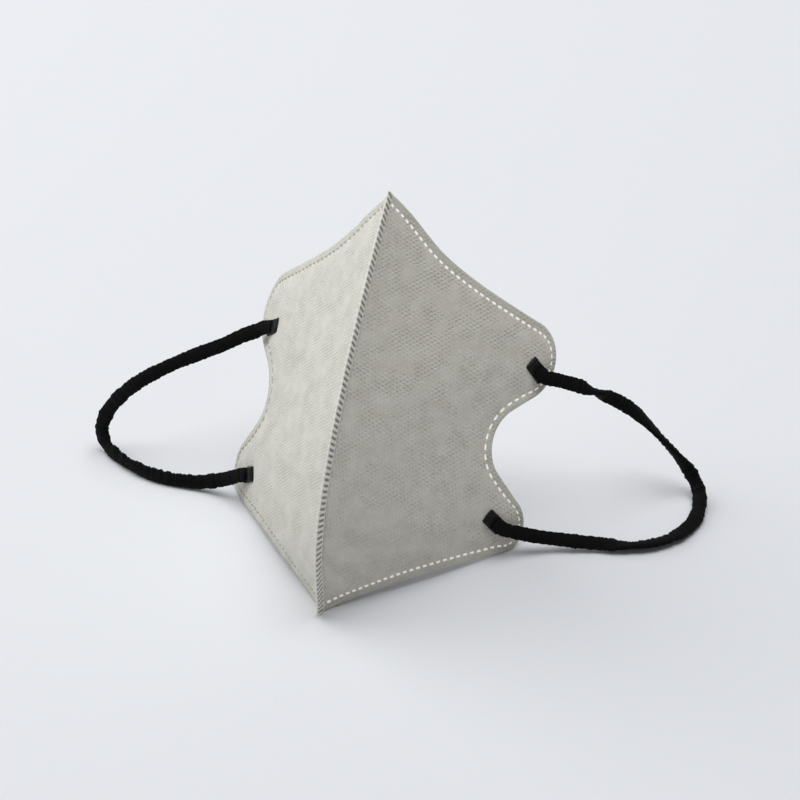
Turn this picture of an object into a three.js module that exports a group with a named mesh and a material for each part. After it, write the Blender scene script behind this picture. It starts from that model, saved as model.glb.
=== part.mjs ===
// Disposable dust mask, V-fold type: two mirrored halves of layered nonwoven, welded together along
// a curved centre seam, with an elastic ear loop welded to each half.
// Millimetres, +Z up. The mask stands on its chin tip and its two lower lobes. Its front faces -Y,
// its mid-plane is x = 0, and "left" is the -X side.
import * as THREE from 'three';
import { mergeVertices } from 'three/addons/utils/BufferGeometryUtils.js';

// ---- driving dimensions -------------------------------------------------------------------

const rad = THREE.MathUtils.degToRad;

// Pose of the standing mask.
const SEAM_LEAN = rad(30.6);          // the chin-to-nose line leans back from the vertical
const PANEL_PITCH = rad(36.3);        // the panels run backwards this far below the horizontal

// Centre seam, as a curve in the mid-plane: the chin-to-nose line and how far it bows forward.
const SEAM_HEIGHT = 141.5;            // chin to nose, along their line
const CHIN_HANDLE = { along: 15, bow: 1.5 };
const NOSE_HANDLE = { back: 123.5, bow: 42 };

// Centre weld: the fin in which the two halves are welded face to face.
const FIN_WIDTH = 4.3;
const FIN_THICKNESS = 1.6;

// How the panels open out from the fin.
const OPENING_AT_SEAM = rad(39);    // angle between a panel and the mid-plane beside the fin
const OPENING_AT_LOBE = rad(38);    // and at the lobes
const PANEL_DEPTH = 83;             // from the fin to the tip of a lobe, along the fabric
const FOLD_TRAVEL = rad(30);        // how far each half can turn towards the mid-plane
const OPENING_ROOM = 1.6;           // free strip beside the fin, so that the halves can open wider

// Flat outline of one panel. "out" is the distance from the fin along the fabric, and "up" the
// height along the chin-to-nose line.
const NOTCH = { up: 68.4, radius: 14, depth: 19.2 };
const LOWER_LOBE = { radius: 10.4, run: 13.5, side: -1 };   // run: straight edge to the notch's arc
const UPPER_LOBE = { radius: 13.8, run: 8.92, side: 1 };    // side: below or above the notch
const CHIN_EDGE_SAG = 1.9;          // the chin edge hollows by this much from a straight line
const NOSE_EDGE = { startSlope: 0.45, hollow: 0.82 };
const LOWER_LOBE_TURN = rad(71);    // where the chin edge runs into the lower lobe
const UPPER_LOBE_TURN = rad(74);    // where the nose edge runs into the upper lobe

// Fabric layers, from the outside in.
const LAYERS = [
  { name: 'outer_cover', thickness: 0.35, inset: 0, colour: 0xb9b6af },
  { name: 'support_layer', thickness: 0.4, inset: 0.6, colour: 0xe9e7e1 },
  { name: 'filter_layer', thickness: 0.2, inset: 0.6, colour: 0xf2f2ef },
  { name: 'inner_lining', thickness: 0.25, inset: 0.6, colour: 0xf0e6e1 },
];
const LAYER_GAP = 0.15;

// Ear loops: flat knitted elastic whose ends are welded onto the lobes.
const LOOP_DIAMETER = 3.2;          // plain round stand-in for elastic 5 mm wide and 2.4 mm thick
const LOOP_STEP = 5;                // length of one straight piece of the tube
const LOOP_SIDES = 8;
const PAD = { length: 7, width: 5.4, thickness: 0.9, corner: 0.8 };
const PAD_GAP = 0.3;                // between a pad and the fabric

// Where each loop end is welded: how far in from the lobe's tip, how far above the lobe's centre,
// and how far its length is turned in the fabric from straight out.
const PADS = [
  { name: 'upper_right', side: 1, lobe: UPPER_LOBE, inFromTip: 8.2, above: -1.8, tilt: rad(-38) },
  { name: 'upper_left', side: -1, lobe: UPPER_LOBE, inFromTip: 13.5, above: -5.4, tilt: rad(-15) },
  { name: 'lower_right', side: 1, lobe: LOWER_LOBE, inFromTip: 13.8, above: 0.8, tilt: rad(-28) },
  { name: 'lower_left', side: -1, lobe: LOWER_LOBE, inFromTip: 16.2, above: -1, tilt: rad(-12) },
];

// Each loop's middle line, in the part's own frame: from its upper weld, over the lobe's edge and
// down to the surface that the mask stands on, round in a bow, and back up to its lower weld.
const RIGHT_LOOP_ROUTE = [
  [51, 38.2, 51.2],
  [54, 39.5, 50.2],
  [57.3, 41.4, 48.4],
  [60.7, 43.7, 46.2],
  [65, 47.3, 42.5],
  [70.5, 51.5, 37.8],
  [76.5, 55, 32.2],
  [81.8, 57.1, 26],
  [87, 58.3, 19.6],
  [92.5, 58.9, 13.2],
  [97.5, 58.2, 7.9],
  [101.5, 54.8, 4.2],
  [103.9, 48.5, 2.5],
  [104.5, 40.5, 2],
  [102.4, 33, 2],
  [98.3, 27, 2],
  [93, 22.6, 2],
  [86.5, 19.6, 2],
  [75, 16.2, 2.8],
  [64.5, 12.6, 4.3],
  [58.5, 10, 5.7],
  [54, 7.9, 7.2],
  [50.5, 6, 8.8],
  [47.5, 4.1, 10.8],
];
const LEFT_LOOP_ROUTE = [
  [-48.1, 33.6, 51.7],
  [-51.2, 33.3, 49.6],
  [-55.4, 31.8, 47.6],
  [-61, 28.3, 45.1],
  [-69, 22.7, 42.6],
  [-77, 18.5, 39.2],
  [-84.5, 15.7, 34.4],
  [-91.6, 14.9, 27.7],
  [-97.2, 15.2, 20.2],
  [-100.8, 15.4, 13.2],
  [-101.9, 14.9, 7.8],
  [-100, 13.2, 3.9],
  [-95.2, 9.9, 2],
  [-88.5, 6.2, 2],
  [-80.5, 3.6, 2],
  [-72.5, 3, 2],
  [-64, 3.7, 2.6],
  [-57.5, 4.2, 4.4],
  [-51.5, 3.8, 7.4],
  [-46.3, 2.6, 11],
];

// Fineness of the faceted solids.
const PANEL_COLUMNS = 5;
const SEAM_STEPS = 24;
const EDGE_STEPS = 9;
const ARC_STEPS = 5;
const NARROWEST_ROW = 1.5;

// ---- directions -----------------------------------------------------------------------------

const SIDEWAYS = new THREE.Vector3(1, 0, 0);
const ALONG_SEAM = new THREE.Vector3(0, Math.sin(SEAM_LEAN), Math.cos(SEAM_LEAN));
const FORWARD = new THREE.Vector3(0, -Math.cos(SEAM_LEAN), Math.sin(SEAM_LEAN));
const BACKWARD = new THREE.Vector3(0, Math.cos(PANEL_PITCH), -Math.sin(PANEL_PITCH));

// ---- centre seam ----------------------------------------------------------------------------

// The fin's root: x is the height along the chin-to-nose line, y the forward bow.
const seamCurve = new THREE.CubicBezierCurve(
  new THREE.Vector2(0, 0),
  new THREE.Vector2(CHIN_HANDLE.along, CHIN_HANDLE.bow),
  new THREE.Vector2(SEAM_HEIGHT - NOSE_HANDLE.back, NOSE_HANDLE.bow),
  new THREE.Vector2(SEAM_HEIGHT, 0),
);

// The curve's parameter at a height along the chin-to-nose line, found by halving.
function seamParameter(up) {
  let low = 0;
  let high = 1;
  for (let i = 0; i < 40; i += 1) {
    const middle = (low + high) / 2;
    if (seamCurve.getPoint(middle).x < up) low = middle;
    else high = middle;
  }
  return (low + high) / 2;
}

// A point of the mid-plane, from its height along the chin-to-nose line and its forward bow.
function midPlanePoint(flat) {
  return new THREE.Vector3()
    .addScaledVector(ALONG_SEAM, flat.x)
    .addScaledVector(FORWARD, flat.y);
}

function centreWeldSeam() {
  const root = [];
  const freeEdge = [];
  for (let i = 0; i <= SEAM_STEPS; i += 1) {
    const point = seamCurve.getPoint(i / SEAM_STEPS);
    const tangent = seamCurve.getTangent(i / SEAM_STEPS);
    const outward = new THREE.Vector2(-tangent.y, tangent.x);
    root.push(midPlanePoint(point));
    freeEdge.push(midPlanePoint(point.clone().addScaledVector(outward, FIN_WIDTH)));
  }
  const outline = [...root, ...freeEdge.reverse()].map((p) => new THREE.Vector2(p.y, p.z));
  const geometry = new THREE.ExtrudeGeometry(new THREE.Shape(outline), {
    depth: FIN_THICKNESS,
    bevelEnabled: false,
  });
  geometry.translate(0, 0, -FIN_THICKNESS / 2);
  const toMidPlane = new THREE.Matrix4().makeBasis(
    new THREE.Vector3(0, 1, 0),
    new THREE.Vector3(0, 0, 1),
    SIDEWAYS,
  );
  return geometry.applyMatrix4(toMidPlane);
}

// ---- the curved panel -----------------------------------------------------------------------

// The panel's angle from the mid-plane changes evenly from the fin to the lobes, so in plan it is
// part of a circle.
function openingAngle(out) {
  return OPENING_AT_SEAM + (OPENING_AT_LOBE - OPENING_AT_SEAM) * (out / PANEL_DEPTH);
}

// How far sideways and backwards the panel has run, this far out from the fin: the chord of the
// circle so far.
function planOffset(out) {
  const halfTurn = (OPENING_AT_SEAM - openingAngle(out)) / 2;
  const chord = Math.abs(halfTurn) < 1e-6 ? out : (out * Math.sin(halfTurn)) / halfTurn;
  const heading = OPENING_AT_SEAM - halfTurn;
  return {
    side: FIN_THICKNESS / 2 + chord * Math.sin(heading),
    back: chord * Math.cos(heading),
  };
}

// The panel's outside face, and its directions there, on the +X side.
function panelFrame(out, up) {
  const t = seamParameter(up);
  const seam = seamCurve.getPoint(t);
  const slope = seamCurve.getTangent(t);
  const offset = planOffset(out);
  const angle = openingAngle(out);
  const point = midPlanePoint(new THREE.Vector2(up, seam.y))
    .addScaledVector(SIDEWAYS, offset.side)
    .addScaledVector(BACKWARD, offset.back);
  const outDirection = new THREE.Vector3()
    .addScaledVector(SIDEWAYS, Math.sin(angle))
    .addScaledVector(BACKWARD, Math.cos(angle));
  const upDirection = midPlanePoint(slope).normalize();
  const normal = new THREE.Vector3().crossVectors(outDirection, upDirection).normalize();
  return { point, outDirection, upDirection, normal };
}

// ---- the panel's flat outline ---------------------------------------------------------------

function arcPoints(centre, radius, from, to) {
  const points = [];
  for (let i = 0; i <= ARC_STEPS; i += 1) {
    const angle = from + ((to - from) * i) / ARC_STEPS;
    points.push(new THREE.Vector2(Math.cos(angle), Math.sin(angle)).multiplyScalar(radius).add(centre));
  }
  return points;
}

// The direction from a lobe's centre to where the straight run between lobe and notch leaves it.
// That run touches both circles and crosses the line between their centres.
function crossTangentAngle(lobe, notch, lobeRadius, upwards) {
  const toNotch = notch.clone().sub(lobe);
  const spread = Math.acos((lobeRadius + NOTCH.radius) / toNotch.length());
  return toNotch.angle() - upwards * spread - (upwards < 0 ? 2 * Math.PI : 0);
}

function notchCentre() {
  return new THREE.Vector2(PANEL_DEPTH - NOTCH.depth + NOTCH.radius, NOTCH.up);
}

// A lobe's centre, where its straight run to the notch has its length.
function lobeCentre(lobe) {
  const notch = notchCentre();
  const out = PANEL_DEPTH - lobe.radius;
  const apart = Math.hypot(NOTCH.radius + lobe.radius, lobe.run);
  const rise = Math.sqrt(apart ** 2 - (notch.x - out) ** 2);
  return new THREE.Vector2(out, notch.y + lobe.side * rise);
}

// The outline from the chin, round both lobes and the notch, to the nose.
function panelOutline() {
  const lower = lobeCentre(LOWER_LOBE);
  const upper = lobeCentre(UPPER_LOBE);
  const notch = notchCentre();
  const lowerLeave = crossTangentAngle(lower, notch, LOWER_LOBE.radius, 1);
  const upperMeet = crossTangentAngle(upper, notch, UPPER_LOBE.radius, -1);

  const lowerArc = arcPoints(lower, LOWER_LOBE.radius, -LOWER_LOBE_TURN, lowerLeave);
  const notchArc = arcPoints(notch, NOTCH.radius, lowerLeave + Math.PI, upperMeet + Math.PI);
  const upperArc = arcPoints(upper, UPPER_LOBE.radius, upperMeet, UPPER_LOBE_TURN);

  const chin = new THREE.Vector2(0, 0);
  const chinEnd = lowerArc[0];
  const hollow = chin.clone().lerp(chinEnd, 0.5).add(new THREE.Vector2(0, 2 * CHIN_EDGE_SAG));
  const chinEdge = new THREE.QuadraticBezierCurve(chin, hollow, chinEnd).getPoints(EDGE_STEPS);

  const nose = new THREE.Vector2(0, SEAM_HEIGHT);
  const noseEnd = upperArc[ARC_STEPS];
  const run = noseEnd.x;
  const leaveLobe = new THREE.Vector2(-Math.sin(UPPER_LOBE_TURN), Math.cos(UPPER_LOBE_TURN));
  const noseEdge = new THREE.CubicBezierCurve(
    noseEnd,
    noseEnd.clone().addScaledVector(leaveLobe, run * NOSE_EDGE.hollow),
    new THREE.Vector2(run / 3, SEAM_HEIGHT - (run / 3) * NOSE_EDGE.startSlope),
    nose,
  ).getPoints(EDGE_STEPS);

  return [...chinEdge, ...lowerArc.slice(1), ...notchArc, ...upperArc, ...noseEdge.slice(1)];
}

// The outline moved inwards by a distance, evenly all round.
function insetOutline(outline, inset) {
  return outline.map((point, i) => {
    const before = outline[Math.max(i - 1, 0)];
    const after = outline[Math.min(i + 1, outline.length - 1)];
    const along = after.clone().sub(before).normalize();
    return new THREE.Vector2(point.x - along.y * inset, point.y + along.x * inset);
  });
}

// Rows across the panel: the outline's points, where it is wide enough to hold fabric beyond the
// free strip.
function outlineRows(outline, start) {
  return outline.filter((point) => point.x > start + NARROWEST_ROW);
}

// ---- solids -----------------------------------------------------------------------------------

function closeUp(geometry) {
  geometry.deleteAttribute('normal');
  geometry.deleteAttribute('uv');
  const closed = mergeVertices(geometry, 1e-4);
  closed.computeVertexNormals();
  return closed;
}

// The same solid on the other side of the mid-plane, with its faces still pointing outwards.
function mirrored(geometry) {
  const copy = geometry.clone();
  copy.scale(-1, 1, 1);
  const index = copy.getIndex();
  for (let i = 0; i < index.count; i += 3) {
    const second = index.getX(i + 1);
    index.setX(i + 1, index.getX(i + 2));
    index.setX(i + 2, second);
  }
  copy.computeVertexNormals();
  return copy;
}

// One layer of fabric on the +X side: a thin slab bent to the panel's shape, between two depths
// below the panel's outside face. The deeper it lies, the further from the fin it starts, so that
// it stays on its own side of the mid-plane when the mask is folded.
function fabricLayer(depth, thickness, inset) {
  const inner = depth + thickness;
  const start = OPENING_ROOM + inner / Math.tan(OPENING_AT_SEAM - FOLD_TRAVEL);
  const rows = outlineRows(insetOutline(panelOutline(), inset), start);
  const lastRow = rows.length - 1;
  const slab = new THREE.BoxGeometry(1, 1, 1, PANEL_COLUMNS, lastRow, 1);
  const position = slab.getAttribute('position');
  for (let i = 0; i < position.count; i += 1) {
    const across = position.getX(i) + 0.5;
    const row = rows[Math.round((position.getY(i) + 0.5) * lastRow)];
    const below = position.getZ(i) > 0 ? depth : inner;
    const frame = panelFrame(start + across * (row.x - start), row.y);
    const point = frame.point.addScaledVector(frame.normal, -below);
    position.setXYZ(i, point.x, point.y, point.z);
  }
  return closeUp(slab);
}

function roundedPlate(length, width, thickness, corner) {
  const shape = new THREE.Shape();
  const x = length / 2;
  const y = width / 2;
  shape.moveTo(-x + corner, -y);
  shape.lineTo(x - corner, -y);
  shape.absarc(x - corner, -y + corner, corner, -Math.PI / 2, 0);
  shape.lineTo(x, y - corner);
  shape.absarc(x - corner, y - corner, corner, 0, Math.PI / 2);
  shape.lineTo(-x + corner, y);
  shape.absarc(-x + corner, y - corner, corner, Math.PI / 2, Math.PI);
  shape.lineTo(-x, -y + corner);
  shape.absarc(-x + corner, -y + corner, corner, Math.PI, Math.PI * 1.5);
  return new THREE.ExtrudeGeometry(shape, { depth: thickness, bevelEnabled: false, curveSegments: 3 });
}

// A welded loop end, made on the +X side: flat on the outside of a lobe, with its length outwards.
function loopWeldPad(place) {
  const up = lobeCentre(place.lobe).y + place.above;
  const frame = panelFrame(PANEL_DEPTH - place.inFromTip, up);
  const across = new THREE.Vector3().crossVectors(frame.normal, frame.outDirection);
  const length = frame.outDirection.clone().applyAxisAngle(frame.normal, place.tilt);
  const width = across.applyAxisAngle(frame.normal, place.tilt);
  const toLobe = new THREE.Matrix4().makeBasis(length, width, frame.normal);
  toLobe.setPosition(frame.point.addScaledVector(frame.normal, PAD_GAP));
  const plate = roundedPlate(PAD.length, PAD.width, PAD.thickness, PAD.corner);
  const pad = closeUp(plate.applyMatrix4(toLobe));
  return place.side > 0 ? pad : mirrored(pad);
}

// A loop's plain tube along its route.
function earLoop(route) {
  const path = new THREE.CatmullRomCurve3(route.map((point) => new THREE.Vector3(...point)));
  const section = new THREE.Shape();
  section.absarc(0, 0, LOOP_DIAMETER / 2, 0, 2 * Math.PI);
  const tube = new THREE.ExtrudeGeometry(section, {
    steps: Math.round(path.getLength() / LOOP_STEP),
    extrudePath: path,
    curveSegments: LOOP_SIDES,
  });
  return closeUp(tube);
}

// ---- assembly -----------------------------------------------------------------------------------

function material(colour, roughness) {
  return new THREE.MeshStandardMaterial({ color: colour, roughness, metalness: 0 });
}

function named(name, geometry, finish) {
  const mesh = new THREE.Mesh(geometry, finish);
  mesh.name = name;
  return mesh;
}

function maskBody() {
  const body = new THREE.Group();
  body.add(named('centre_weld_seam', centreWeldSeam(), material(0xb4b1aa, 0.85)));
  let depth = 0;
  for (const layer of LAYERS) {
    const right = fabricLayer(depth, layer.thickness, layer.inset);
    const finish = material(layer.colour, 0.9);
    body.add(named(`${layer.name}_right`, right, finish));
    body.add(named(`${layer.name}_left`, mirrored(right), finish));
    depth += layer.thickness + LAYER_GAP;
  }
  for (const place of PADS) {
    body.add(named(`loop_weld_${place.name}`, loopWeldPad(place), material(0x161615, 0.6)));
  }
  return body;
}

// The origin is the middle of the mask's footprint, on the surface that it stands on.
function originOf(body) {
  const box = new THREE.Box3().setFromObject(body);
  const centre = box.getCenter(new THREE.Vector3());
  return new THREE.Vector3(0, centre.y, box.min.z);
}

const group = new THREE.Group();
const mask = maskBody();
mask.position.sub(originOf(mask));
group.add(mask);
group.add(named('ear_loop_right', earLoop(RIGHT_LOOP_ROUTE), material(0x11110f, 0.8)));
group.add(named('ear_loop_left', earLoop(LEFT_LOOP_ROUTE), material(0x11110f, 0.8)));

export default group;
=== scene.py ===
"""A disposable dust mask: two halves of layered nonwoven welded along a curved centre seam, with a
flat knitted elastic ear loop welded to each half. It stands on its chin and its lower lobes."""
import math

import bpy
import numpy as np
from mathutils import Matrix, Vector, noise
from mathutils.geometry import delaunay_2d_cdt
from mathutils.kdtree import KDTree


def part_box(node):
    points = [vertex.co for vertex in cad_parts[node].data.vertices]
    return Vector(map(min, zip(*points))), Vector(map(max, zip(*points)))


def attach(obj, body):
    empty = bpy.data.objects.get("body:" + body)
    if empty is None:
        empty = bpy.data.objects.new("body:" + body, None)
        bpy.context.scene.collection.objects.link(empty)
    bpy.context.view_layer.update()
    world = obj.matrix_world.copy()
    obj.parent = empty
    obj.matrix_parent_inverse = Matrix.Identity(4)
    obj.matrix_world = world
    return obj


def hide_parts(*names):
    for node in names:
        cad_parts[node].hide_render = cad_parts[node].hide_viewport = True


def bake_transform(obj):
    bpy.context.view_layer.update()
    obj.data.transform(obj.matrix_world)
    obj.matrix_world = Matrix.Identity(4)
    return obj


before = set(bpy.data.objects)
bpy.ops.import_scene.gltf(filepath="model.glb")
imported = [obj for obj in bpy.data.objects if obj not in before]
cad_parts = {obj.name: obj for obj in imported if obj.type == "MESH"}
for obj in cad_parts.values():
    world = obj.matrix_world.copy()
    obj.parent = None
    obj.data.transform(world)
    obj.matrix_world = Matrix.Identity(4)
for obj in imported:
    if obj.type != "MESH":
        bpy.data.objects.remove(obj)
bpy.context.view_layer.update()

MM = 0.001

# ---- sizes, in millimetres ---------------------------------------------------------------------

# The standing mask: how its chin-to-nose line leans back, and how far its panels run downhill.
SEAM_LEAN = math.radians(30.6)
PANEL_PITCH = math.radians(36.3)

# The centre seam in the mid-plane: (height along the chin-to-nose line, bow forward of it).
SEAM_HEIGHT = 141.5
SEAM_HANDLES = np.array([(0, 0), (15, 1.5), (SEAM_HEIGHT - 123.5, 42), (SEAM_HEIGHT, 0)], float)
FIN_WIDTH = 4.3
FIN_THICKNESS = 1.6

# The panels.
OPENING_AT_SEAM = math.radians(39)
OPENING_AT_LOBE = math.radians(38)
PANEL_DEPTH = 83
NOTCH = {"up": 68.4, "radius": 14, "depth": 19.2}
LOWER_LOBE = {"radius": 10.4, "run": 13.5, "side": -1, "turn": math.radians(71)}
UPPER_LOBE = {"radius": 13.8, "run": 8.92, "side": 1, "turn": math.radians(74)}
CHIN_EDGE_SAG = 1.9
NOSE_EDGE = {"start_slope": 0.45, "hollow": 0.82}

# The layers of one panel from the outside in: depth of the outer and inner face below the panel's
# outside, and how far the cut edge stands back from the cover's edge.
LAYERS = {
    "outer_cover": (0.0, 0.38, 0.0),
    "support_layer": (0.4, 0.93, 0.35),
    "filter_layer": (0.95, 1.28, 0.45),
    "inner_lining": (1.3, 1.65, 0.12),
}
STACK = 1.65

# The dashed weld that runs round inside the free edge.
WELD_MARGIN = 2.6
LOBE_MARGIN = 1.75
LOBE_MARGIN_START = 73
LOBE_MARGIN_RUN = 9
DASH_PITCH = 2.95
DASH_STATIONS = (0.0, 0.12, 0.86, 1.6, 1.72, 2.33)
DASH_STATIONS_WELDED = (0, 1, 1, 1, 0, 0)
DASH_WIDTH = 0.58

# Ear loops.
ELASTIC_WIDTH = 5.0
ELASTIC_THICKNESS = 2.4
PAD_LENGTH = 7.0
PAD_WIDTH = 5.4
PAD_GAP = 0.3

# Where each loop end is welded on: its lobe, how far in from the lobe's tip, how far above the
# lobe's centre, and how far its length is turned in the fabric from straight out.
PADS = {
    "upper_right": (UPPER_LOBE, 8.2, -1.8, math.radians(-38)),
    "upper_left": (UPPER_LOBE, 13.5, -5.4, math.radians(-15)),
    "lower_right": (LOWER_LOBE, 13.8, 0.8, math.radians(-28)),
    "lower_left": (LOWER_LOBE, 16.2, -1.0, math.radians(-12)),
}

# The loops' middle lines, in metres: from the upper weld, over the lobe's edge, down to the
# surface, round, and back up to the lower weld.
RIGHT_LOOP_ROUTE = [
    (0.0510, 0.0382, 0.0512),
    (0.0540, 0.0395, 0.0502),
    (0.0573, 0.0414, 0.0484),
    (0.0607, 0.0437, 0.0462),
    (0.0650, 0.0473, 0.0425),
    (0.0705, 0.0515, 0.0378),
    (0.0765, 0.0550, 0.0322),
    (0.0818, 0.0571, 0.0260),
    (0.0870, 0.0583, 0.0196),
    (0.0925, 0.0589, 0.0132),
    (0.0975, 0.0582, 0.0079),
    (0.1015, 0.0548, 0.0042),
    (0.1039, 0.0485, 0.0025),
    (0.1045, 0.0405, 0.0020),
    (0.1024, 0.0330, 0.0020),
    (0.0983, 0.0270, 0.0020),
    (0.0930, 0.0226, 0.0020),
    (0.0865, 0.0196, 0.0020),
    (0.0750, 0.0162, 0.0028),
    (0.0645, 0.0126, 0.0043),
    (0.0585, 0.0100, 0.0057),
    (0.0540, 0.0079, 0.0072),
    (0.0505, 0.0060, 0.0088),
    (0.0475, 0.0041, 0.0108),
]
LEFT_LOOP_ROUTE = [
    (-0.0481, 0.0336, 0.0517),
    (-0.0512, 0.0333, 0.0496),
    (-0.0554, 0.0318, 0.0476),
    (-0.0610, 0.0283, 0.0451),
    (-0.0690, 0.0227, 0.0426),
    (-0.0770, 0.0185, 0.0392),
    (-0.0845, 0.0157, 0.0344),
    (-0.0916, 0.0149, 0.0277),
    (-0.0972, 0.0152, 0.0202),
    (-0.1008, 0.0154, 0.0132),
    (-0.1019, 0.0149, 0.0078),
    (-0.1000, 0.0132, 0.0039),
    (-0.0952, 0.0099, 0.0020),
    (-0.0885, 0.0062, 0.0020),
    (-0.0805, 0.0036, 0.0020),
    (-0.0725, 0.0030, 0.0020),
    (-0.0640, 0.0037, 0.0026),
    (-0.0575, 0.0042, 0.0044),
    (-0.0515, 0.0038, 0.0074),
    (-0.0463, 0.0026, 0.0110),
]

# How each ribbon turns on its way: (share of its length, turn in degrees of its flat side from
# facing up and forward).
RIGHT_LOOP_TURNS = [(0.06, 0), (0.10, 10), (0.14, 85), (0.18, 165), (0.22, 190), (0.30, 245), (0.36, 275)]
RIGHT_LOOP_TURNS += [(0.45, 340), (0.55, 345), (0.64, 295), (0.71, 285), (0.79, 345), (0.93, 360)]
LEFT_LOOP_TURNS = [(0.06, 0), (0.30, 8), (0.50, -8), (0.60, -48), (0.68, -52), (0.76, -28), (0.92, -5)]
FLAT_SIDE_FACES = (0.27, -0.75, 0.61)

# ---- directions, and the seam ------------------------------------------------------------------

SIDEWAYS = np.array((1.0, 0.0, 0.0))
ALONG_SEAM = np.array((0.0, math.sin(SEAM_LEAN), math.cos(SEAM_LEAN)))
FORWARD = np.array((0.0, -math.cos(SEAM_LEAN), math.sin(SEAM_LEAN)))
BACKWARD = np.array((0.0, math.cos(PANEL_PITCH), -math.sin(PANEL_PITCH)))


def smooth(x):
    """0 below 0, 1 above 1, and an even rise between."""
    x = np.clip(x, 0, 1)
    return x * x * (3 - 2 * x)


def unit(vectors):
    return vectors / np.linalg.norm(vectors, axis=-1, keepdims=True)


def seam_point(t):
    """(up, bow) of the fin's root at the curve's parameter."""
    t = np.atleast_1d(t)[:, None]
    a, b, c, d = SEAM_HANDLES
    return (1 - t) ** 3 * a + 3 * (1 - t) ** 2 * t * b + 3 * (1 - t) * t**2 * c + t**3 * d


def seam_tangent(t):
    t = np.atleast_1d(t)[:, None]
    a, b, c, d = SEAM_HANDLES
    return unit((1 - t) ** 2 * (b - a) + 2 * (1 - t) * t * (c - b) + t**2 * (d - c))


SEAM_TABLE = np.linspace(0, 1, 2001)
SEAM_TABLE_UP = seam_point(SEAM_TABLE)[:, 0]
SEAM_TABLE_RUN = np.concatenate(
    [[0], np.cumsum(np.linalg.norm(np.diff(seam_point(SEAM_TABLE), axis=0), axis=1))]
)


def mid_plane(flat):
    """Points of the mid-plane, from (up, bow)."""
    return flat[:, :1] * ALONG_SEAM + flat[:, 1:] * FORWARD


def fin_flat(t, width):
    """(up, bow) of the fin at a parameter, this far out from its root."""
    tangent = seam_tangent(t)
    outward = np.stack([-tangent[:, 1], tangent[:, 0]], axis=1)
    return seam_point(t) + outward * np.atleast_1d(width)[:, None]


def part_origin():
    """What moves the chin point from the origin to its place in the frame, from the fin's box."""
    root = fin_flat(SEAM_TABLE, np.zeros(len(SEAM_TABLE)))
    crest = fin_flat(SEAM_TABLE, np.full(len(SEAM_TABLE), FIN_WIDTH))
    low = mid_plane(np.concatenate([root, crest])).min(axis=0)
    box_low = np.array(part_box("centre_weld_seam")[0]) / MM
    return np.array((0.0, box_low[1] - low[1], box_low[2] - low[2]))


ORIGIN = part_origin()


def panel_surface(out, up):
    """Points of the right panel's outside face, and its directions out, up and away from the wearer."""
    t = np.interp(up, SEAM_TABLE_UP, SEAM_TABLE)
    angle = OPENING_AT_SEAM + (OPENING_AT_LOBE - OPENING_AT_SEAM) * out / PANEL_DEPTH
    half_turn = (OPENING_AT_SEAM - angle) / 2
    chord = out * np.sinc(half_turn / math.pi)
    heading = OPENING_AT_SEAM - half_turn
    point = (
        ORIGIN
        + mid_plane(np.stack([up, seam_point(t)[:, 1]], axis=1))
        + SIDEWAYS * (FIN_THICKNESS / 2 + chord * np.sin(heading))[:, None]
        + BACKWARD * (chord * np.cos(heading))[:, None]
    )
    out_direction = SIDEWAYS * np.sin(angle)[:, None] + BACKWARD * np.cos(angle)[:, None]
    normal = unit(np.cross(out_direction, mid_plane(seam_tangent(t))))
    return point, out_direction, normal


# ---- the flat cut of one panel -------------------------------------------------------------------


def notch_centre():
    return np.array((PANEL_DEPTH - NOTCH["depth"] + NOTCH["radius"], NOTCH["up"]))


def lobe_centre(lobe):
    """Where a lobe's arc is centred, so that its straight run to the notch has its length."""
    notch = notch_centre()
    out = PANEL_DEPTH - lobe["radius"]
    apart = math.hypot(NOTCH["radius"] + lobe["radius"], lobe["run"])
    rise = math.sqrt(apart**2 - (notch[0] - out) ** 2)
    return np.array((out, notch[1] + lobe["side"] * rise))


def arc(centre, radius, start, end, steps=60):
    angle = np.linspace(start, end, steps)
    return centre + radius * np.stack([np.cos(angle), np.sin(angle)], axis=1)


def cross_tangent_angle(lobe, upwards):
    """Direction from a lobe's centre to where the straight run to the notch leaves it."""
    to_notch = notch_centre() - lobe_centre(lobe)
    spread = math.acos((lobe["radius"] + NOTCH["radius"]) / np.linalg.norm(to_notch))
    return math.atan2(to_notch[1], to_notch[0]) - upwards * spread


def free_edge():
    """The free edge in (out, up): from the chin, round both lobes and the notch, to the nose."""
    lower, upper = lobe_centre(LOWER_LOBE), lobe_centre(UPPER_LOBE)
    lower_leave = cross_tangent_angle(LOWER_LOBE, 1)
    upper_meet = cross_tangent_angle(UPPER_LOBE, -1)
    lower_arc = arc(lower, LOWER_LOBE["radius"], -LOWER_LOBE["turn"], lower_leave)
    notch_arc = arc(notch_centre(), NOTCH["radius"], lower_leave + math.pi, upper_meet + math.pi)
    upper_arc = arc(upper, UPPER_LOBE["radius"], upper_meet, UPPER_LOBE["turn"])

    t = np.linspace(0, 1, 90)[:, None]
    hollow = lower_arc[0] / 2 + (0, 2 * CHIN_EDGE_SAG)
    chin_edge = 2 * (1 - t) * t * hollow + t**2 * lower_arc[0]

    nose_end = upper_arc[-1]
    run = nose_end[0]
    leave = np.array((-math.sin(UPPER_LOBE["turn"]), math.cos(UPPER_LOBE["turn"])))
    first = nose_end + leave * run * NOSE_EDGE["hollow"]
    second = np.array((run / 3, SEAM_HEIGHT - run / 3 * NOSE_EDGE["start_slope"]))
    nose = np.array((0.0, SEAM_HEIGHT))
    nose_edge = (
        (1 - t) ** 3 * nose_end
        + 3 * (1 - t) ** 2 * t * first
        + 3 * (1 - t) * t**2 * second
        + t**3 * nose
    )
    return np.concatenate([chin_edge, lower_arc[1:], notch_arc, upper_arc, nose_edge[1:]])


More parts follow.
